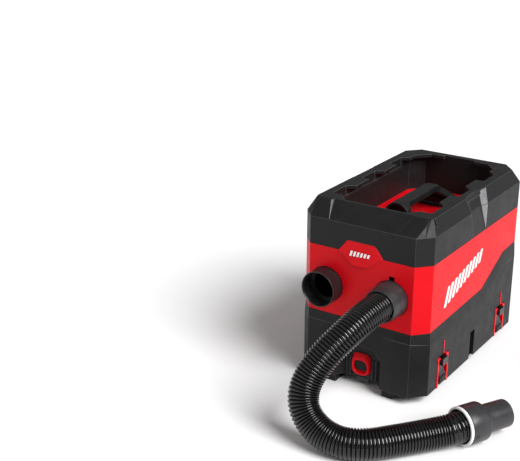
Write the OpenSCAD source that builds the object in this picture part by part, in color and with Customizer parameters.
// Dust separator box of a modular shop vacuum: an inner dust tank, a two-part housing with a
// tool tray and carry handle on top, two hose ports, four side latches and a ribbed hose.
// Millimetres. The box stands on z = 0 and its port face looks towards -Y.

/* [Body] */
// Width across the two long sides
body_w = 250; // [226:1:300]
// Length from the port face to the rear face
body_l = 414; // [380:1:500]
// Corner chamfer, measured across the width
corner_x = 23; // [18:1:30]
// Corner chamfer, measured along the length
corner_y = 26; // [20:1:32]
// Wall thickness of the moulded housings
wall = 3; // [2:0.5:4]
// How far the lower housing stands proud of the upper one
proud = 2; // [1:0.5:3]
// Height of the housing's lower edge above the floor
skirt_z = 16; // [14:1:24]

/* [Heights above the lower edge] */
// Seam between the two housings at the port face
seam_front = 120; // [112:1:126]
// Seam between the two housings at the rear
seam_rear = 175; // [160:1:190]
// Drop from the seam to the crease below it
crease_drop = 22; // [14:1:28]
// Tray deck
deck_h = 245; // [238:1:290]
// Height of the frame's upright wall above the deck
frame_wall_h = 50; // [30:1:60]
// Height of the frame's slope above its upright wall
frame_slope_h = 25; // [15:1:35]

/* [Tray] */
// Rim set back from the port face
rim_in_front = 38; // [25:1:50]
// Rim set back from each long side
rim_in_side = 12.5; // [8:0.5:18]
// Rim set back from the rear face
rim_in_rear = 14; // [8:1:20]
// Tray wall set back from each long side
tray_in_side = 28; // [24:1:36]
// Tray wall set back from the port face
tray_in_front = 42; // [40:1:60]
// Tray wall set back from the rear face
tray_in_rear = 26; // [22:1:40]
// Height of the bevelled plates between the rim's tabs
plate_drop = 19; // [14:1:22]
// Depth of the scoop in the middle of each long side
scoop_d = 5; // [3:0.5:6]
// Reach of the rim's stacking tabs into the tray
tab_reach = 15; // [8:1:20]
// Thickness of the rim's tabs
tab_t = 6; // [3:1:10]
// Length of each pocket between the tabs
pocket_l = 46; // [30:1:60]
// Distance between pocket centres
pocket_pitch = 107; // [90:1:120]

/* [Handle] */
// Width of the grip
grip_w = 25; // [20:1:30]
// Depth of the grip, top to bottom
grip_t = 15; // [12:1:20]
// Grip's top below the rim
grip_drop = 18.5; // [12:0.5:24]
// Front leg's place along the length, from the body's middle
leg_front = -82; // [-100:1:-70]
// Rear leg's foot, from the body's middle
leg_rear = 106; // [98:1:116]
// Width of a leg at its foot
leg_foot_w = 106; // [80:1:116]
// Thickness of the front leg
leg_t = 14; // [12:1:18]
// Wall of the arch in the front leg
arch_wall = 4; // [3:0.5:6]

/* [Ports] */
// Inlet port, right of the middle
inlet_x = 60; // [50:1:64]
// Height of the inlet port above the lower edge
inlet_h = 177.5; // [170:0.5:185]
// Radius of the inlet hole
inlet_r = 33.5; // [30:0.5:36]
// Outlet port, left of the middle
outlet_x = 67; // [60:1:70]
// Height of the outlet port above the lower edge
outlet_h = 174; // [168:0.5:182]
// Outside radius of the outlet collar
collar_r = 33; // [30:0.5:35]
// How far the outlet collar stands out of the port face
collar_out = 30; // [20:1:40]
// Bore radius of the outlet socket, for a 47.6 mm cuff
socket_r = 24.1; // [20:0.1:26]
// Length of the outlet socket's bore
socket_l = 40; // [25:1:50]

/* [Tank] */
// Gap between the tank and each long side of the housing
tank_in_side = 20; // [19:1:28]
// Gap between the tank and the port face
tank_in_front = 32; // [30:1:40]
// Gap between the tank and the rear face
tank_in_rear = 16; // [10:1:24]
// Tank wall
tank_wall = 3; // [2:0.5:4]
// Foot width at the floor
foot_w = 21; // [16:1:30]
// Inner edge of a foot, from the middle
foot_x = 47; // [40:1:60]

/* [Latches] */
// Distance of each latch from the body's middle
latch_y = 126; // [110:1:140]
// Latch width
latch_w = 43; // [34:1:50]
// Latch height
latch_h = 57; // [48:1:62]
// Depth of the latch pocket
latch_d = 9; // [7:0.5:11]
// Radius of the latch pin
latch_pin_r = 2; // [1.5:0.1:2.5]
// Height of the latch pin above the lower edge
latch_pin_h = 45; // [40:1:48]

/* [Release tab] */
// Outer width of the tab
tab_w = 38; // [30:1:42]
// Outer height of the tab
tab_h = 42; // [34:1:46]
// How far the tab stands out of the recess's back wall
tab_d = 8; // [6:0.5:14]
// How far the tab travels upwards
tab_travel = 8; // [5:1:9]

/* [Cyclone] */
// Outside radius of the cyclone barrel
cyclone_r = 88; // [84:1:96]
// Cyclone centre, from the body's middle
cyclone_y = 40; // [20:1:60]
// Inside radius of the air ducts
duct_r = 26; // [22:1:27]

/* [Hose] */
// Outside radius of the ribbed hose
hose_r = 26; // [22:0.5:26]
// Outside radius of the tool cuff
cuff_r = 33; // [31:0.5:33]
// Outside radius of the tool cuff's tip
tip_r = 23.8; // [20:0.1:25]

/* [Hidden] */
$fn = 64;

cut = 1;            // overrun of a cutting solid past the face that it cuts
gap = 0.3;          // gap between curved or soft faces of different bodies
body_y = (collar_out - proud) / 2;    // centres the whole box on the origin
front_y = -body_l / 2;
rear_y = body_l / 2;
side_x = body_w / 2;
ridge_h = deck_h + frame_wall_h;
rim_h = ridge_h + frame_slope_h;

// seam and crease between the housings, as (distance from the middle, height)
seam_knee = 30;     // the seam starts to climb here
seam_top = 122;     // and ends its climb here
seam_rise = 6;      // its slow rise along the first stretch
seam_line = [[front_y - 20, seam_front], [front_y + corner_y, seam_front],
    [seam_knee, seam_front + seam_rise], [seam_top, seam_rear - 5], [rear_y + 20, seam_rear]];
crease_line = [[front_y - 20, seam_front - 15], [front_y + corner_y, seam_front - crease_drop],
    [seam_knee, seam_front + seam_rise - crease_drop], [seam_top, seam_rear - 5 - crease_drop - 6],
    [rear_y + 20, seam_rear - crease_drop - 6]];

// recess around the release tab
recess_w = 94;
recess_top_w = 60;
recess_h = 72;
recess_knee = 52;
recess_d = 19;
rib_pitch = 7;
rib_t = 3;
spring_top = 90;     // underside of the shelf over the tab's spring
stem_low = 21;       // foot of the tab's stem
ledge_x = 70;       // the lower housing's corner columns start here

plate_h = seam_front;   // the separator plate lies at the seam's height
plate_t = 4;
gasket_t = 4;
tank_top = plate_h - gasket_t - gap;
flange_lo = -3;     // tank flange, below the housing's lower edge
flange_t = -flange_lo - gap;
lug_t = 6;
barrel_top = plate_h + 88;
boss_r = 6;
screw_r = 2;
screw_fit = 0.05;
screw_head_h = 2.5;
screw_y = [-150, -20, 100];
boss_x = side_x - wall - boss_r - 2.5;
frame_boss_x = side_x - tray_in_side + wall + boss_r - 1;
frame_boss_y = [-140, 10, 160];

key_w = 11.4;       // bayonet key slots of the inlet
key_r = inlet_r + 7;
ring_flange_r = inlet_r + 10;
cuff_out = 41;      // hose-end cuff, length outside the port face
cuff_in = 30;       // and inside it
cuff_mouth_r = hose_r + 3.4;

// tool cuff's place and direction at the hose's far end
cuff_at = [228.7, front_y + body_y - 61.5, cuff_r + 0.2];
cuff_turn = 63;
ring_l = 5;
cuff_l = 42;
tip_l = 48;

// route of the hose from the port face, from inside its end cuff to inside the tool cuff
port_y = front_y + body_y;
hose_path = [
    [inlet_x, -22, inlet_h + skirt_z + 0.5], [59, -47, 193], [55, -75, 189], [50, -103, 181],
    [42, -128, 168], [31, -149, 151], [20, -165, 131], [11, -178, 109], [8, -189, 86],
    [14, -197, 64], [30, -202, 45], [55, -205, 32], [84, -204, 26.5], [110, -196, 26.5],
    [133, -179, 26.5], [153, -155, 26.5], [172, -131, 26.5], [191, -107, 27], [208, -88, 29],
    [221, -75, 32], [228.7, -61.5, 33.2], [233.7, -51.7, 33.2]];
hose_route = [for (p = hose_path) p + [0, port_y, 0]];
hose_wall = 1.6;

black = "#2c2c2e";
red = "#d81e2a";

// ---------- plan shapes and swept tubes ----------

// octagonal plan of the body, inset by d on every side
module plan(d = 0) {
    hx = side_x - d;
    hy = rear_y - d;
    polygon([[-hx, -hy + corner_y], [-hx + corner_x, -hy], [hx - corner_x, -hy], [hx, -hy + corner_y],
        [hx, hy - corner_y], [hx - corner_x, hy], [-hx + corner_x, hy], [-hx, hy - corner_y]]);
}

// the same plan with its own inset at the front, the sides and the rear
module plan_in(front, side, rear) {
    x = side_x - side;
    y0 = front_y + front;
    y1 = rear_y - rear;
    polygon([[-x, y0 + corner_y], [-x + corner_x, y0], [x - corner_x, y0], [x, y0 + corner_y],
        [x, y1 - corner_y], [x - corner_x, y1], [-x + corner_x, y1], [-x, y1 - corner_y]]);
}

// plan of the proud lower housing, whose corner columns fade out towards the middle of the front
module plan_proud() {
    x = side_x + proud;
    y = rear_y + proud;
    cx = side_x - corner_x;
    cy = rear_y - corner_y;
    polygon([[-x, -cy], [-cx, -y], [-ledge_x, -y], [-recess_w / 2, -rear_y], [recess_w / 2, -rear_y],
        [ledge_x, -y], [cx, -y], [x, -cy], [x, cy], [cx, y], [-cx, y], [-x, cy]]);
}

// everything below a line given as (distance from the middle, height)
module below(line) {
    low = [[line[len(line) - 1][0], -60], [line[0][0], -60]];
    rotate([90, 0, 90])
        linear_extrude(body_w + 60, center = true)
            polygon(concat(line, low));
}

module rounded(w, h, r) {
    square([w - 2 * r, h], center = true);
    square([w, h - 2 * r], center = true);
    for (sx = [-1, 1], sy = [-1, 1])
        translate([sx * (w / 2 - r), sy * (h / 2 - r)])
            circle(r, $fn = 32);
}

// a rod or hole along Y that starts at y and runs back by l
module along_y(r, y, l) {
    translate([0, y, 0])
        rotate([-90, 0, 0])
            cylinder(r = r, h = l);
}

module on_body() {
    translate([0, body_y, skirt_z])
        children();
}

function unit(v) = v / norm(v);
function route_dir(p, i) = unit(p[min(i + 1, len(p) - 1)] - p[max(i - 1, 0)]);
// the rings are turned from one direction that the swept route never runs along
function ring_points(p, i, r, n, side) =
    let (t = route_dir(p, i),
        u = unit(cross(t, side)),
        v = cross(t, u))
    [for (k = [0 : n - 1]) p[i] + r * (cos(360 * k / n) * u + sin(360 * k / n) * v)];

// side faces between two neighbouring rings, the first of whose points is number a
function ring_sides(a, m, n) = [for (i = [0 : m - 2], k = [0 : n - 1])
    [a + i * n + k, a + (i + 1) * n + k, a + (i + 1) * n + (k + 1) % n, a + i * n + (k + 1) % n]];

// a round rod of radius r along the points p, closed at both ends
module sweep(p, r, n, side) {
    m = len(p);
    rings = [for (i = [0 : m - 1]) each ring_points(p, i, r, n, side)];
    caps = [[for (k = [0 : n - 1]) k], [for (k = [n - 1 : -1 : 0]) (m - 1) * n + k]];
    polyhedron(rings, concat(ring_sides(0, m, n), caps), convexity = 8);
}

// the same with a wall, open at both ends
module sweep_tube(p, r, t, n, side) {
    m = len(p);
    in = m * n;
    rings = [for (d = [0, t], i = [0 : m - 1]) each ring_points(p, i, r - d, n, side)];
    inner = [for (f = ring_sides(in, m, n)) [f[3], f[2], f[1], f[0]]];
    ends = [for (k = [0 : n - 1]) each [
        [k, (k + 1) % n, in + (k + 1) % n, in + k],
        [in - n + k, 2 * in - n + k, 2 * in - n + (k + 1) % n, in - n + (k + 1) % n]]];
    polyhedron(rings, concat(ring_sides(0, m, n), inner, ends), convexity = 8);
}

// ---------- tank ----------

module foot(x0, y0, y1) {
    slope = 9;
    translate([0, y1, 0])
        rotate([90, 0, 0])
            linear_extrude(y1 - y0)
                polygon([[x0, -skirt_z], [x0 + foot_w, -skirt_z], [x0 + foot_w + slope, flange_lo],
                    [x0, flange_lo]]);
}

module tank() color(black) on_body() {
    flange_in = wall + 2;
    difference() {
        union() {
            translate([0, 0, flange_lo])
                linear_extrude(tank_top - flange_lo)
                    plan_in(tank_in_front, tank_in_side, tank_in_rear);
            translate([0, 0, flange_lo])
                linear_extrude(flange_t)
                    plan(flange_in);
            // lugs for the latch hooks
            for (s = [-1, 1], y = [-latch_y, latch_y])
                translate([s * (side_x - flange_in - 5), y, flange_lo + lug_t / 2])
                    cube([14, latch_w - 18, lug_t], center = true);
        }
        translate([0, 0, tank_wall])
            linear_extrude(tank_top)
                plan_in(tank_in_front + tank_wall, tank_in_side + tank_wall, tank_in_rear + tank_wall);
        // the bolt and the ribbed recess pass through the front of the flange
        translate([0, front_y + tank_in_front / 2, 0])
            cube([recess_w + 2, tank_in_front, 20], center = true);
    }
    foot_l = 56;
    for (s = [0, 1])
        mirror([s, 0, 0]) {
            foot(foot_x, front_y + flange_in + 1, front_y + foot_l);
            foot(foot_x, rear_y - foot_l, rear_y - flange_in - 1);
        }
}

// ---------- housings ----------

// upright bosses that take the housing screws, tied to the wall by a web
module housing_bosses() {
    for (s = [-1, 1], y = screw_y)
        translate([s * boss_x, y, 0]) {
            cylinder(r = boss_r, h = deck_h - wall);
            translate([s * (side_x - wall - boss_x) / 2, 0, (deck_h - wall) / 2])
                cube([side_x - wall - boss_x, 5, deck_h - wall], center = true);
        }
}

// the bosses stand only this far from the seam
module boss_zone(reach) {
    difference() {
        translate([0, 0, reach])
            below(seam_line);
        translate([0, 0, -reach])
            below(seam_line);
    }
}

module boss_holes() {
    for (s = [-1, 1], y = screw_y)
        translate([s * boss_x, y, 0])
            cylinder(r = screw_r + screw_fit, h = deck_h - wall - 1);
}

// opening of the recess at the port face, widened by d
module recess_outline(d = 0) {
    polygon([[-recess_w / 2 - d, -cut], [recess_w / 2 + d, -cut], [recess_w / 2 + d, recess_knee],
        [recess_top_w / 2 + d, recess_h + d], [-recess_top_w / 2 - d, recess_h + d],
        [-recess_w / 2 - d, recess_knee]]);
}

module recess_space(d) {
    hull() {
        translate([0, front_y + d, 0])
            rotate([90, 0, 0])
                linear_extrude(d + proud + cut)
                    recess_outline(d);
        translate([0, front_y + recess_d + d, 0])
            rotate([90, 0, 0])
                linear_extrude(0.1)
                    polygon([[-33 - d, -cut], [33 + d, -cut], [33 + d, 46], [22 + d, 60 + d],
                        [-22 - d, 60 + d], [-33 - d, 46]]);
    }
}

// sloped ledge between the crease and the seam, on the right half
module seam_ledge() {
    cx = side_x - corner_x;
    cy = rear_y - corner_y;
    low = [[recess_w / 2, front_y], [ledge_x, front_y - proud], [cx, front_y - proud],
        [side_x + proud, -cy], [side_x + proud, seam_knee], [side_x + proud, seam_top],
        [side_x + proud, cy], [cx, rear_y + proud], [0, rear_y + proud]];
    top = [[recess_w / 2, front_y], [ledge_x, front_y], [cx, front_y], [side_x, -cy],
        [side_x, seam_knee], [side_x, seam_top], [side_x, cy], [cx, rear_y], [0, rear_y]];
    back = [[recess_w / 2, front_y + 1], [ledge_x, front_y + 1], [cx - 1, front_y + 1],
        [side_x - 1, -cy + 1], [side_x - 1, seam_knee], [side_x - 1, seam_top], [side_x - 1, cy - 1],
        [cx - 1, rear_y - 1], [0, rear_y - 1]];
    m = len(low);
    pts = [for (i = [0 : m - 1]) each [
        [low[i][0], low[i][1], lookup(low[i][1], crease_line)],
        [top[i][0], top[i][1], lookup(top[i][1], seam_line)],
        [back[i][0], back[i][1], lookup(back[i][1], seam_line)],
        [back[i][0], back[i][1], lookup(back[i][1], crease_line)]]];
    sides = [for (i = [0 : m - 2], k = [0 : 3])
        [i * 4 + k, i * 4 + (k + 1) % 4, (i + 1) * 4 + (k + 1) % 4, (i + 1) * 4 + k]];
    polyhedron(pts, concat(sides, [[3, 2, 1, 0], [for (k = [0 : 3]) (m - 1) * 4 + k]]), convexity = 8);
}

module lower_housing() color(black) on_body() {
    difference() {
        union() {
            difference() {
                union() {
                    intersection() {
                        linear_extrude(rim_h)
                            plan();
                        below(seam_line);
                    }
                    intersection() {
                        linear_extrude(rim_h)
                            plan_proud();
                        below(crease_line);
                    }
                    seam_ledge();
                    mirror([1, 0, 0])
                        seam_ledge();
                }
                translate([0, 0, -cut])
                    linear_extrude(rim_h)
                        plan(wall);
            }
            intersection() {
                housing_bosses();
                boss_zone(20);
                below(seam_line);
            }
            // walls of the recess and of the latch pockets
            intersection() {
                recess_space(wall);
                linear_extrude(recess_h + wall)
                    plan();
            }
            for (s = [-1, 1], y = [-latch_y, latch_y])
                translate([s * (side_x - (latch_d + wall) / 2), y, (latch_h + 3 + wall) / 2])
                    cube([latch_d + wall, latch_w + 2 + 2 * wall, latch_h + 3 + wall], center = true);
            // slot pad in the middle of each long side
            for (s = [-1, 1])
                translate([s * (side_x - 5), 0, 29])
                    cube([10, 28, 58], center = true);
        }
        recess_space(0);
        for (s = [-1, 1], y = [-latch_y, latch_y])
            translate([s * (side_x - latch_d + 10), y, (latch_h + 2) / 2 - cut])
                cube([20, latch_w + 1, latch_h + 2 + 2 * cut], center = true);
        for (s = [-1, 1])
            translate([s * (side_x + 1), 0, 27])
                cube([16, 20, 54], center = true);
        // keeper slots let the tank's lugs reach the latch hooks
        for (s = [-1, 1], y = [-latch_y, latch_y])
            translate([s * (side_x - latch_d), y, 1])
                cube([12, latch_w - 14, 14], center = true);
        // slot for the tab's stem and its travel
        translate([-7, front_y + recess_d - wall, stem_low - 1])
            cube([14, 3 * wall, stem_h + tab_travel + 2]);
        boss_holes();
    }
    // ribs on the recess's back wall, either side of the tab
    rib_from = tab_w / 2 + 2;
    for (s = [-1, 1], i = [0, 1])
        translate([s * (rib_from + i * rib_pitch + rib_t / 2), front_y + recess_d - 1, 20])
            cube([rib_t, 4, 40], center = true);
    // shelf over the tab's spring
    translate([-8, front_y + wall - 1, spring_top])
        cube([16, tank_in_front - wall, 4]);
}

module port_hole(x, h, r) {
    translate([x, 0, h])
        along_y(r, front_y - 20, 40);
}

module upper_housing() color(red) on_body() {
    difference() {
        union() {
            difference() {
                linear_extrude(deck_h)
                    plan();
                translate([0, 0, -cut])
                    linear_extrude(deck_h - wall + cut)
                        plan(wall);
            }
            intersection() {
                housing_bosses();
                boss_zone(20);
            }
        }
        below(seam_line);
        port_hole(inlet_x, inlet_h, inlet_r);
        port_hole(-outlet_x, outlet_h, collar_r + gap);
        // the collar's lip turns in this relief
        translate([-outlet_x, 0, outlet_h])
            along_y(collar_lip_r + gap, front_y + wall, lip_t + 2 * gap);
        // bayonet key slots
        translate([inlet_x, front_y, inlet_h])
            cube([key_w, 4 * wall, 2 * key_r], center = true);
        boss_holes();
        handle_screw_places()
            cylinder(r = screw_r + screw_fit, h = 40, center = true);
        frame_screw_places()
            cylinder(r = screw_r + screw_fit, h = 40, center = true);
    }
}

module separator_plate() color(black) on_body() {
    difference() {
        translate([0, 0, plate_h])
            linear_extrude(plate_t)
                plan(wall + 0.5);
        translate([0, cyclone_y, 0])
            cylinder(r = cyclone_r - wall, h = rim_h);
        for (s = [-1, 1], y = screw_y)
            translate([s * (boss_x + boss_r), y, plate_h])
                cube([4 * boss_r + 1, 2 * boss_r + 1, 20], center = true);
    }
}

module plate_gasket() color("#141414") on_body() {
    translate([0, 0, plate_h - gasket_t])
        linear_extrude(gasket_t)
            difference() {
                plan_in(tank_in_front - 2, tank_in_side - 1, tank_in_rear - 2);
                plan_in(tank_in_front + 6, tank_in_side + 6, tank_in_rear + 6);
            }
}

// ---------- top frame and tray ----------

// plan of the rim: sharp at the front, where the corner facets end in a point
module rim_plan(front, side, rear) {
    tip = 2;
    x = side_x - side;
    y0 = front_y + front;
    y1 = rear_y - rear;
    polygon([[-x, y0 + tip], [-x + tip, y0], [x - tip, y0], [x, y0 + tip],
        [x, y1 - corner_y], [x - corner_x, y1], [-x + corner_x, y1], [-x, y1 - corner_y]]);
}

// solid between the deck and the rim, with inset d all round
module frame_solid(d) {
    translate([0, 0, deck_h])
        linear_extrude(frame_wall_h)
            plan(d);
    hull() {
        translate([0, 0, ridge_h])
            linear_extrude(0.01)
                plan(d);
        translate([0, 0, rim_h - 0.01 - d])
            linear_extrude(0.01)
                rim_plan(rim_in_front + d, rim_in_side + d, rim_in_rear + d);
    }
}

// a convex solid around the points p
module facets(p) {
    hull()
        polyhedron(p, [[for (i = [0 : len(p) - 1]) i]]);
}

// the shallow scoop in the middle of the right side, deepest at the rim
module side_scoop() {
    out = side_x + 2;
    low = [[out, -22, deck_h + 1], [out, scoop_tip, deck_h + 1], [side_x, -24, deck_h + 2],
        [side_x, scoop_tip - 1, deck_h + 2]];
    ridge = [[out, -46, ridge_h], [out, scoop_tip, ridge_h], [side_x - scoop_d, -28, ridge_h],
        [side_x - scoop_d, scoop_tip - 26, ridge_h]];
    slope_out = out + 0.5;
    rim_x = side_x - rim_in_side;
    top = [[slope_out - rim_in_side, -51, rim_h], [slope_out - rim_in_side, scoop_tip + 15, rim_h],
        [rim_x - scoop_d, -24, rim_h + 1], [rim_x - scoop_d, scoop_tip - 12, rim_h + 1]];
    facets(concat(low, ridge));
    facets(concat(ridge, top));
}
scoop_tip = 30;

// the wall behind the scoop, on the right side
module scoop_back() {
    rim_x = side_x - rim_in_side;
    deep = scoop_d + wall;
    translate([0, scoop_tip + 18, 0])
        rotate([90, 0, 0])
            linear_extrude(2 * scoop_tip + 42)
                polygon([[side_x - wall - 0.5, deck_h], [side_x - deep, ridge_h],
                    [rim_x - deep, rim_h - 1], [rim_x, rim_h - 1], [side_x - 0.5, ridge_h],
                    [side_x - 0.5, deck_h]]);
}

// the front slope is a little lower between the two corner blocks
module front_relief() {
    ridge_half = 66;
    rim_half = 78;
    set_back = 3;
    y = front_y + rim_in_front;
    facets([[-ridge_half, front_y, ridge_h], [ridge_half, front_y, ridge_h],
        [-rim_half, y - 2, rim_h + 1], [rim_half, y - 2, rim_h + 1],
        [-rim_half, y + set_back, rim_h + 1], [rim_half, y + set_back, rim_h + 1]]);
}

// beam along the right rim, with its bevelled plates and the hollows under the tabs
module rim_beam() {
    x = side_x - tray_in_side;
    rim_x = side_x - rim_in_side;
    beam_h = plate_drop + wall;
    hollow_d = 8;
    gusset_t = 4;
    difference() {
        translate([0, frame_beam_y[1], 0])
            rotate([90, 0, 0])
                linear_extrude(frame_beam_y[1] - frame_beam_y[0])
                    polygon([[x - 0.5, rim_h - beam_h], [x - 0.5, rim_h - 0.1], [rim_x - 0.5, rim_h - 0.1],
                        [rim_x + 2, rim_h - tab_t], [x + hollow_d + wall, rim_h - beam_h]]);
        for (i = [-1 : 1])
            translate([0, pocket_y + i * pocket_pitch + pocket_l / 2, 0])
                rotate([90, 0, 0])
                    linear_extrude(pocket_l)
                        polygon([[x - 2, rim_h - plate_drop - 2], [rim_x - 3, rim_h + 1],
                            [x - 2, rim_h + 1]]);
        for (i = [0, 1])
            translate([x - 1, pocket_y + (i - 1) * pocket_pitch + pocket_l / 2 + 2, rim_h - plate_drop])
                cube([hollow_d + 1, pocket_pitch - pocket_l - 4, plate_drop - tab_t]);
    }
    // gussets in the hollows
    for (i = [0, 1])
        translate([0, pocket_y + (i - 0.5) * pocket_pitch, 0])
            rotate([90, 0, 0])
                linear_extrude(gusset_t, center = true)
                    polygon([[x + hollow_d + 0.5, rim_h - plate_drop], [x - 4, rim_h - tab_t + 0.5],
                        [x + hollow_d + 0.5, rim_h - tab_t + 0.5]]);
}
pocket_y = -12;         // the middle pocket
frame_beam_y = [-150, 160];

// hexagonal notch and badge outline, as (across, height)
badge_half = 43;
badge_top_half = 26.5;
badge_low_half = 12;
badge_up = 21;
badge_down = 24;
module badge_outline(d = 0) {
    polygon([[-badge_half - d, deck_h], [-badge_top_half - d, deck_h + badge_up + d],
        [badge_top_half + d, deck_h + badge_up + d], [badge_half + d, deck_h],
        [badge_low_half + d, deck_h - badge_down - d], [-badge_low_half - d, deck_h - badge_down - d]]);
}

module pocket(y) {
    front_slant = 3;
    rear_slant = 15;
    x = side_x - tray_in_side;
    tip = x - tab_reach - cut;
    translate([0, y, rim_h - tab_t - cut])
        linear_extrude(tab_t + 2 * cut)
            polygon([[x, -pocket_l / 2], [tip, -pocket_l / 2 - front_slant],
                [tip, pocket_l / 2 + rear_slant], [x, pocket_l / 2]]);
}

module top_frame() color(black) on_body() {
    slot_y = front_y + rim_in_front + 3;
    difference() {
        union() {
            difference() {
                frame_solid(0);
                frame_solid(wall);
            }
            // tray walls
            translate([0, 0, deck_h])
                linear_extrude(rim_h - deck_h)
                    plan_in(tray_in_front - wall, tray_in_side - wall, tray_in_rear - wall);
            frame_screw_places()
                cylinder(r = boss_r, h = frame_wall_h - 10);
            for (s = [0, 1])
                mirror([s, 0, 0])
                    scoop_back();
        }
        translate([0, 0, deck_h - cut])
            linear_extrude(rim_h)
                plan_in(tray_in_front, tray_in_side, tray_in_rear);
        // notch for the badge
        translate([0, front_y + wall + cut, 0])
            rotate([90, 0, 0])
                linear_extrude(10)
                    badge_outline(gap);
        frame_screw_places()
            cylinder(r = screw_r + screw_fit, h = 30, center = true);
        // drain slots in the side slopes, behind the front corners
        for (s = [-1, 1])
            translate([s * (side_x - rim_in_side + 3), slot_y, rim_h - 6])
                rotate([0, s * 25, 0])
                    cube([10, 5, 11], center = true);
        for (s = [0, 1])
            mirror([s, 0, 0])
                side_scoop();
        front_relief();
    }
    // stacking tabs round the rim
    difference() {
        translate([0, 0, rim_h - tab_t])
            linear_extrude(tab_t)
                difference() {
                    plan_in(tray_in_front - 1, tray_in_side - 1, tray_in_rear - 1);
                    plan_in(tray_in_front + 1, tray_in_side + tab_reach, tray_in_rear + 7);
                }
        for (i = [-1 : 1], s = [0, 1])
            mirror([s, 0, 0])
                pocket(pocket_y + i * pocket_pitch);
        translate([0, rear_y - tray_in_rear - 10, rim_h])
            cube([64, 20, 30], center = true);
    }
    for (s = [0, 1])
        mirror([s, 0, 0])
            rim_beam();
}

module frame_screw_places() {
    for (s = [-1, 1], y = frame_boss_y)
        translate([s * frame_boss_x, y, deck_h])
            children();
}

// ---------- handle ----------

foot_t = 7;
foot_rear = 16;     // the rear foot reaches this far each way from its middle
handle_foot_y = [leg_front + leg_t / 2, leg_rear];
module handle_screw_places() {
    for (s = [-1, 1], y = handle_foot_y)
        translate([s * (leg_foot_w / 2 - 9), y, deck_h])
            children();
}

// bell-shaped outline of the front leg, drawn in by d
module bell(d = 0) {
    top = rim_h - grip_drop + 1.5 - deck_h;
    arch_r = grip_w - 1;
    foot_x = leg_foot_w / 2 - d;
    polygon([[-foot_x, 0], [-foot_x, foot_t], [-foot_x + 12, foot_t + 3], [-arch_r + d - 8, top - 40],
        [-arch_r + d, top - arch_r], [arch_r - d, top - arch_r], [arch_r - d + 8, top - 40],
        [foot_x - 12, foot_t + 3], [foot_x, foot_t], [foot_x, 0]]);
    translate([0, top - arch_r])
        circle(arch_r - d);
}

// cross-section of the grip, a rounded bar whose top is at the origin
module grip_slice() {
    edge_r = 4;
    translate([0, -grip_t / 2])
        rounded(grip_w, grip_t, edge_r);
}

module grip_station(y, z, turn) {
    translate([0, y, z])
        rotate([90 - turn, 0, 0])
            linear_extrude(0.5)
                grip_slice();
}

module handle() color(black) on_body() {
    grip_top = rim_h - grip_drop;
    leg_back = leg_front + leg_t;
    leg_w = 0.6 * leg_foot_w;
    // the grip's top line: along the bar, then round the rear bend, as (y, z, turn)
    bend = [[leg_back + 12, 0, 0], [50, 0, 0], [64, -2.5, 20], [75, -9, 42]];
    difference() {
        union() {
            for (i = [0 : len(bend) - 2])
                hull()
                    for (b = [bend[i], bend[i + 1]])
                        grip_station(b[0], grip_top + b[1], b[2]);
            // the grip broadens into the front leg
            hull() {
                grip_station(leg_back + 12, grip_top, 0);
                translate([0, leg_back, deck_h])
                    rotate([90, 0, 0])
                        linear_extrude(2)
                            intersection() {
                                bell();
                                translate([-leg_foot_w, grip_top - deck_h - grip_t - 8])
                                    square(2 * leg_foot_w);
                            }
            }
            translate([0, leg_back, deck_h])
                rotate([90, 0, 0])
                    linear_extrude(leg_t)
                        bell();
            // rear leg, leaning back to its foot
            hull() {
                grip_station(bend[3][0], grip_top + bend[3][1], bend[3][2]);
                translate([-leg_w / 2, leg_rear - 8, deck_h + 16])
                    cube([leg_w, foot_rear + 4, 1]);
            }
            translate([-leg_foot_w / 2 + 5, leg_rear - foot_rear + 2, deck_h])
                cube([leg_foot_w - 10, 2 * foot_rear - 4, 17]);
            translate([-leg_foot_w / 2, leg_rear - foot_rear, deck_h])
                cube([leg_foot_w, 2 * foot_rear, foot_t]);
        }
        // the front leg is open to the front
        translate([0, leg_back - arch_wall, deck_h])
            rotate([90, 0, 0])
                linear_extrude(leg_t)
                    intersection() {
                        bell(arch_wall);
                        translate([-leg_foot_w, foot_t + 3])
                            square(2 * leg_foot_w);
                    }
        // room for the screws and the driver
        handle_screw_places() {
            cylinder(r = screw_r + screw_fit, h = 60, center = true);
            translate([0, 0, foot_t])
                cylinder(r = 5, h = 60);
        }
    }
}

// ---------- screws ----------

// cross-recessed screw: head above the origin, shank below it
module screw(l) {
    head_r = 4;
    head_h = screw_head_h;
    difference() {
        cylinder(r = head_r, h = head_h);
        for (a = [0, 90])
            rotate([0, 0, a])
                translate([0, 0, head_h])
                    cube([4, 1, 2.4], center = true);
    }
    translate([0, 0, -l])
        cylinder(r = screw_r, h = l + 0.1);
}

module handle_screws() color("silver") on_body() {
    handle_screw_places()
        translate([0, 0, foot_t])
            screw(foot_t + wall + 1);
}

module frame_screws() color("silver") on_body() {
    frame_screw_places()
        translate([0, 0, -wall])
            mirror([0, 0, 1])
                screw(16);
}

module housing_screws() color("silver") on_body() {
    for (s = [-1, 1], y = screw_y)
        translate([s * boss_x, y, lookup(y, seam_line) - 24])
            mirror([0, 0, 1])
                screw(34);
}

// ---------- badge ----------

module badge_panel() color(red) on_body() {
    lean = 3;
    intersection() {
        translate([0, front_y + wall, 0])
            rotate([90, 0, 0])
                linear_extrude(12)
                    badge_outline();
        rotate([90, 0, 90])
            linear_extrude(2 * badge_half, center = true)
                polygon([[front_y, deck_h - badge_down], [front_y - lean, deck_h - badge_down + 2],
                    [front_y, deck_h + badge_up], [front_y + wall, deck_h + badge_up],
                    [front_y + wall, deck_h], [front_y, deck_h]]);
    }
}

// ---------- outlet port, on the left ----------

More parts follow.
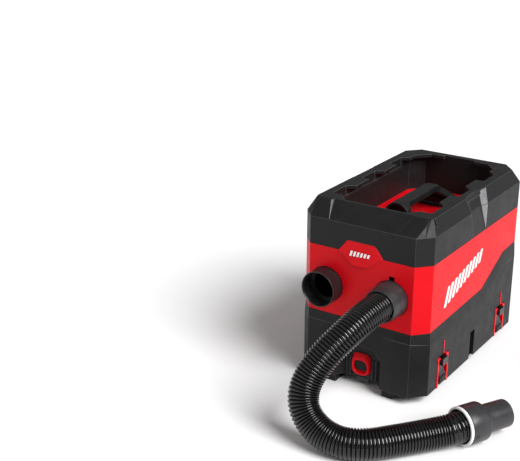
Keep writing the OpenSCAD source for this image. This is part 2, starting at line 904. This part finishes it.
collar_lip_r = collar_r + 2;
lip_t = 2;
module outlet_collar() color(black) on_body() {
    lip = 3;
    ribs = 40;
    translate([-outlet_x, 0, outlet_h])
        difference() {
            union() {
                along_y(collar_r - 0.8, front_y - collar_out, collar_out + wall + 1);
                along_y(collar_r, front_y - collar_out, 3);
                along_y(collar_lip_r, front_y + wall + gap, lip_t);
                for (i = [0 : ribs - 1])
                    rotate([0, i * 360 / ribs, 0])
                        translate([collar_r - 1.4, front_y - collar_out + 2, -0.8])
                            cube([1.3, collar_out - 4, 1.6]);
            }
            along_y(collar_r - lip, front_y - collar_out - cut, collar_out - 2 + cut);
            along_y(socket_r + wall + gap, front_y - 20, 40);
        }
}

module outlet_socket() color(black) on_body() {
    back_r = socket_r + wall;
    flange_y = front_y + wall + 2 * gap + lip_t;
    difference() {
        union() {
            translate([-outlet_x, 0, outlet_h])
                along_y(back_r, front_y - 1, socket_l + 6);
            // the flange's rim seats on the housing and leaves room for the collar's lip
            inside_walls()
                translate([-outlet_x, 0, outlet_h])
                    difference() {
                        along_y(collar_lip_r + 4, front_y + wall, flange_y - front_y);
                        along_y(collar_lip_r + gap, front_y + wall - cut, flange_y - front_y - wall + cut);
                    }
        }
        translate([-outlet_x, 0, outlet_h])
            along_y(socket_r, front_y - 20, socket_l + 60);
    }
}

// keeps only what lies inside the housing's walls
module inside_walls() {
    intersection() {
        linear_extrude(deck_h)
            plan(wall);
        children();
    }
}

module outlet_seal() color("#141414") on_body() {
    translate([-outlet_x, front_y + 2 * wall + 2 * gap + lip_t, outlet_h])
        rotate([-90, 0, 0])
            rotate_extrude()
                translate([socket_r + wall + 0.1, 0])
                    square([4, 3]);
}

// ---------- inlet port, on the right ----------

socket_back = front_y + wall + cuff_in + 4;
module inlet_ring() color(black) on_body() {
    difference() {
        inside_walls()
            translate([inlet_x, 0, inlet_h]) {
                along_y(ring_flange_r, front_y + wall, 4);
                along_y(inlet_r + 6, front_y + wall, socket_back - front_y - wall + 4);
            }
        // mouth, bayonet groove and socket
        translate([inlet_x, 0, inlet_h]) {
            along_y(inlet_r - gap, front_y, socket_back - front_y);
            along_y(key_r - 2, front_y + wall + 7, 7);
            translate([0, front_y + wall + 3, 0])
                cube([key_w, 9, 2 * key_r - 2], center = true);
            along_y(duct_r, front_y, 60);
        }
    }
}

module inlet_seal() color("#141414") on_body() {
    translate([inlet_x, socket_back - gap, inlet_h])
        rotate([90, 0, 0])
            rotate_extrude()
                translate([duct_r + 1, 0])
                    square([inlet_r - duct_r - 3, 2.4]);
}

module inlet_duct() color(black) on_body() {
    difference() {
        translate([inlet_x, 0, inlet_h])
            difference() {
                along_y(duct_r + wall, socket_back + 4, cyclone_y - socket_back - 4);
                along_y(duct_r, front_y, cyclone_y - front_y + 20);
            }
        translate([0, cyclone_y, 0])
            cylinder(r = cyclone_r + 0.2, h = rim_h);
    }
}

// ---------- cyclone ----------

module cyclone_barrel() color("#3a3a3c") on_body() {
    difference() {
        translate([0, cyclone_y, plate_h + plate_t])
            cylinder(r = cyclone_r, h = barrel_top - plate_h - plate_t);
        translate([0, cyclone_y, plate_h])
            cylinder(r = cyclone_r - wall, h = barrel_top - plate_h - wall);
        translate([0, cyclone_y, plate_h])
            cylinder(r = duct_r + wall, h = 200);
        // tangential inlet
        translate([inlet_x, 0, inlet_h])
            along_y(duct_r, cyclone_y - cyclone_r - 20, cyclone_r + 20);
    }
}

module cyclone_cone() color("#3a3a3c") on_body() {
    cone_h = 78;
    outlet_r = 42;
    translate([0, cyclone_y, plate_h + plate_t])
        rotate_extrude()
            polygon([[cyclone_r - wall - 1, 0], [cyclone_r - wall - 1, -plate_t - 6], [outlet_r, -cone_h],
                [outlet_r - wall, -cone_h], [cyclone_r - 2 * wall - 1, -plate_t - 6],
                [cyclone_r - 2 * wall - 1, 0]]);
}

module vortex_finder() color(black) on_body() {
    finder_h = 60;
    translate([0, cyclone_y, barrel_top - finder_h])
        difference() {
            cylinder(r = duct_r + wall - 0.1, h = finder_h);
            translate([0, 0, -cut])
                cylinder(r = duct_r, h = finder_h + 2 * cut);
        }
}

module outlet_duct() color(black) on_body() {
    top = deck_h - wall - screw_head_h - 2 * gap;
    low = barrel_top;
    x0 = -outlet_x - socket_r - 7;
    x1 = duct_r + wall + 3;
    y0 = front_y + socket_l + 5;
    y1 = cyclone_y + duct_r + wall + 3;
    drop_y = y0 + 46;
    drop_low = outlet_h - socket_r - 8;
    difference() {
        union() {
            translate([x0, y0, low])
                cube([x1 - x0, y1 - y0, top - low]);
            translate([x0, y0, drop_low])
                cube([2 * socket_r + 14, drop_y - y0, top - drop_low]);
        }
        translate([x0 + wall, y0 + wall, low + wall])
            cube([x1 - x0 - 2 * wall, y1 - y0 - 2 * wall, top - low - 2 * wall]);
        translate([x0 + wall, y0 + wall, drop_low + wall])
            cube([2 * socket_r + 14 - 2 * wall, drop_y - y0 - 2 * wall, top - drop_low - 2 * wall]);
        translate([-outlet_x, 0, outlet_h])
            along_y(socket_r + 1.5, y0 - 10, 20);
        translate([0, cyclone_y, low - cut])
            cylinder(r = duct_r, h = 2 * wall);
    }
}

// ---------- side latches ----------

// places n = 1..4: right front, right rear, left front, left rear
module at_latch(n) {
    s = n <= 2 ? 1 : -1;
    translate([0, body_y + (n % 2 == 1 ? -latch_y : latch_y), skirt_z])
        mirror([s > 0 ? 0 : 1, 0, 0])
            children();
}

pin_x = side_x - 0.5;
leg_w = 6;
module latch_bezel(n) color(red) at_latch(n) {
    strip_h = 86;
    difference() {
        union() {
            translate([side_x - latch_d + 0.2, -latch_w / 2, 0])
                cube([latch_d + proud + 1, latch_w, latch_h - 2]);
            translate([side_x + proud, -3.5, latch_h - 3])
                cube([1, 7, strip_h - latch_h + 3]);
        }
        translate([side_x - latch_d + 2, -latch_w / 2 + leg_w, -4])
            cube([30, latch_w - 2 * leg_w, latch_h - 2]);
        translate([side_x - latch_d - 2, -(latch_w - 15) / 2, -4])
            cube([30, latch_w - 15, 12]);
        translate([pin_x, 0, latch_pin_h])
            rotate([90, 0, 0])
                cylinder(r = latch_pin_r + screw_fit, h = latch_w + 2, center = true);
    }
}

module latch_pin(n) color("silver") at_latch(n) {
    translate([pin_x, 0, latch_pin_h])
        rotate([90, 0, 0])
            cylinder(r = latch_pin_r, h = latch_w - 2, center = true);
}

module latch_lever(n) color(black) at_latch(n) {
    lever_w = latch_w - 2 * leg_w - 2;
    low = -5.4;
    difference() {
        union() {
            translate([pin_x, 0, latch_pin_h])
                rotate([90, 0, 0])
                    cylinder(r = 5, h = lever_w, center = true);
            // flat of the lever with two raised grip bars
            translate([pin_x - 1, -lever_w / 2, low])
                cube([5, lever_w, latch_pin_h - low]);
            for (z = [6, 26])
                translate([pin_x + 3, -lever_w / 2 + 3, z])
                    cube([3, lever_w - 6, 7]);
            // hook below the tank's lug
            translate([pin_x - 6, -lever_w / 2 + 4, low])
                cube([6, lever_w - 8, 2]);
        }
        translate([pin_x, 0, latch_pin_h])
            rotate([90, 0, 0])
                cylinder(r = latch_pin_r + screw_fit, h = latch_w, center = true);
    }
}

// ---------- release tab ----------

tab_low = 8;
stem_h = 16;
module release_tab() color(red) on_body() {
    back = front_y + recess_d - gap;
    difference() {
        union() {
            translate([0, back, tab_low + tab_h / 2])
                rotate([90, 0, 0])
                    linear_extrude(tab_d)
                        rounded(tab_w, tab_h, 14);
            // stem through the slot in the recess's back wall, up to the bolt
            translate([-6, back - 1, stem_low])
                cube([12, bolt_y - bolt_t / 2 - back + 1, stem_h]);
        }
        translate([0, back - 3, tab_low + 3 + 14])
            rotate([90, 0, 0])
                linear_extrude(tab_d)
                    rounded(tab_w - 7, 28, 13);
        // the hood slopes back towards its top
        translate([0, back - tab_d, tab_low + tab_h + 2])
            rotate([35, 0, 0])
                cube([tab_w + 2, 10, 12], center = true);
    }
}

bolt_t = 4;
bolt_top = 54;
bolt_y = front_y + recess_d + wall + 1 + bolt_t / 2;
module release_bolt() color("#3a3a3c") on_body() {
    bolt_low = -10;
    bolt_w = 24;
    translate([-bolt_w / 2, bolt_y - bolt_t / 2, bolt_low])
        cube([bolt_w, bolt_t, bolt_top - bolt_low]);
}

module release_spring() color("silver") on_body() {
    turns = 6;
    wire_r = 0.5;
    coil_r = 2.4;
    low = bolt_top + wire_r + 0.1;
    high = spring_top - wire_r - 0.1;
    steps = 12;
    helix = [for (i = [0 : turns * steps]) [coil_r * cos(i * 360 / steps), coil_r * sin(i * 360 / steps),
        low + (high - low) * i / (turns * steps)]];
    translate([0, bolt_y, 0])
        sweep(helix, wire_r, 6, [0, 0, 1]);
}

// ---------- hose ----------

module hose_end_cuff() color("#48484b") on_body() {
    lug_w = 9;
    face_r = inlet_r - 1;
    translate([inlet_x, 0, inlet_h])
        difference() {
            union() {
                translate([0, front_y - cuff_out, 0])
                    rotate([-90, 0, 0])
                        cylinder(r1 = cuff_mouth_r, r2 = face_r, h = cuff_out - 6);
                along_y(face_r, front_y - 6.1, cuff_in + wall + 6);
                // bayonet lugs, a part turn away from their key slots
                for (a = [30, 210])
                    rotate([0, a, 0])
                        translate([inlet_r - 4, front_y + wall + 8, -lug_w / 2])
                            cube([5.5, 5, lug_w]);
            }
            along_y(hose_r + 0.8, front_y - cuff_out - cut, 24);
            along_y(duct_r - 1, front_y - cuff_out, cuff_out + cuff_in + 60);
        }
}

module hose() color("#17171a") sweep_tube(hose_route, hose_r, hose_wall, 12, [-1, 1, 0]);

// the tool cuff's pieces are drawn along X and turned into place
module at_cuff() {
    translate(cuff_at)
        rotate([0, 0, cuff_turn])
            rotate([0, 90, 0])
                children();
}

module cuff_ring() color("#e8e8e6") at_cuff() {
    translate([0, 0, -ring_l / 2])
        difference() {
            cylinder(r = cuff_r, h = ring_l);
            translate([0, 0, -cut])
                cylinder(r = hose_r + 2.5, h = ring_l + 2 * cut);
        }
}

module tool_cuff() color("#48484b") at_cuff() {
    shoulder = 10;
    translate([0, 0, ring_l / 2])
        difference() {
            union() {
                cylinder(r = cuff_r, h = cuff_l - 6);
                translate([0, 0, cuff_l - 6])
                    cylinder(r1 = cuff_r, r2 = tip_r + 2, h = 6);
                cylinder(r = tip_r, h = cuff_l + tip_l);
            }
            translate([0, 0, -cut])
                cylinder(r = hose_r + 2.5, h = shoulder + cut);
            cylinder(r = tip_r - wall, h = 200);
        }
}

tank();
lower_housing();
upper_housing();
top_frame();
handle();
handle_screws();
frame_screws();
housing_screws();
badge_panel();
outlet_collar();
outlet_socket();
outlet_seal();
inlet_ring();
inlet_seal();
inlet_duct();
outlet_duct();
cyclone_barrel();
cyclone_cone();
vortex_finder();
separator_plate();
plate_gasket();
latch_bezel(1);  // latch_bezel_1
latch_bezel(2);  // latch_bezel_2
latch_bezel(3);  // latch_bezel_3
latch_bezel(4);  // latch_bezel_4
latch_lever(1);  // latch_lever_1
latch_lever(2);  // latch_lever_2
latch_lever(3);  // latch_lever_3
latch_lever(4);  // latch_lever_4
latch_pin(1);  // latch_pin_1
latch_pin(2);  // latch_pin_2
latch_pin(3);  // latch_pin_3
latch_pin(4);  // latch_pin_4
release_tab();
release_bolt();
release_spring();
hose_end_cuff();
hose();
cuff_ring();
tool_cuff();
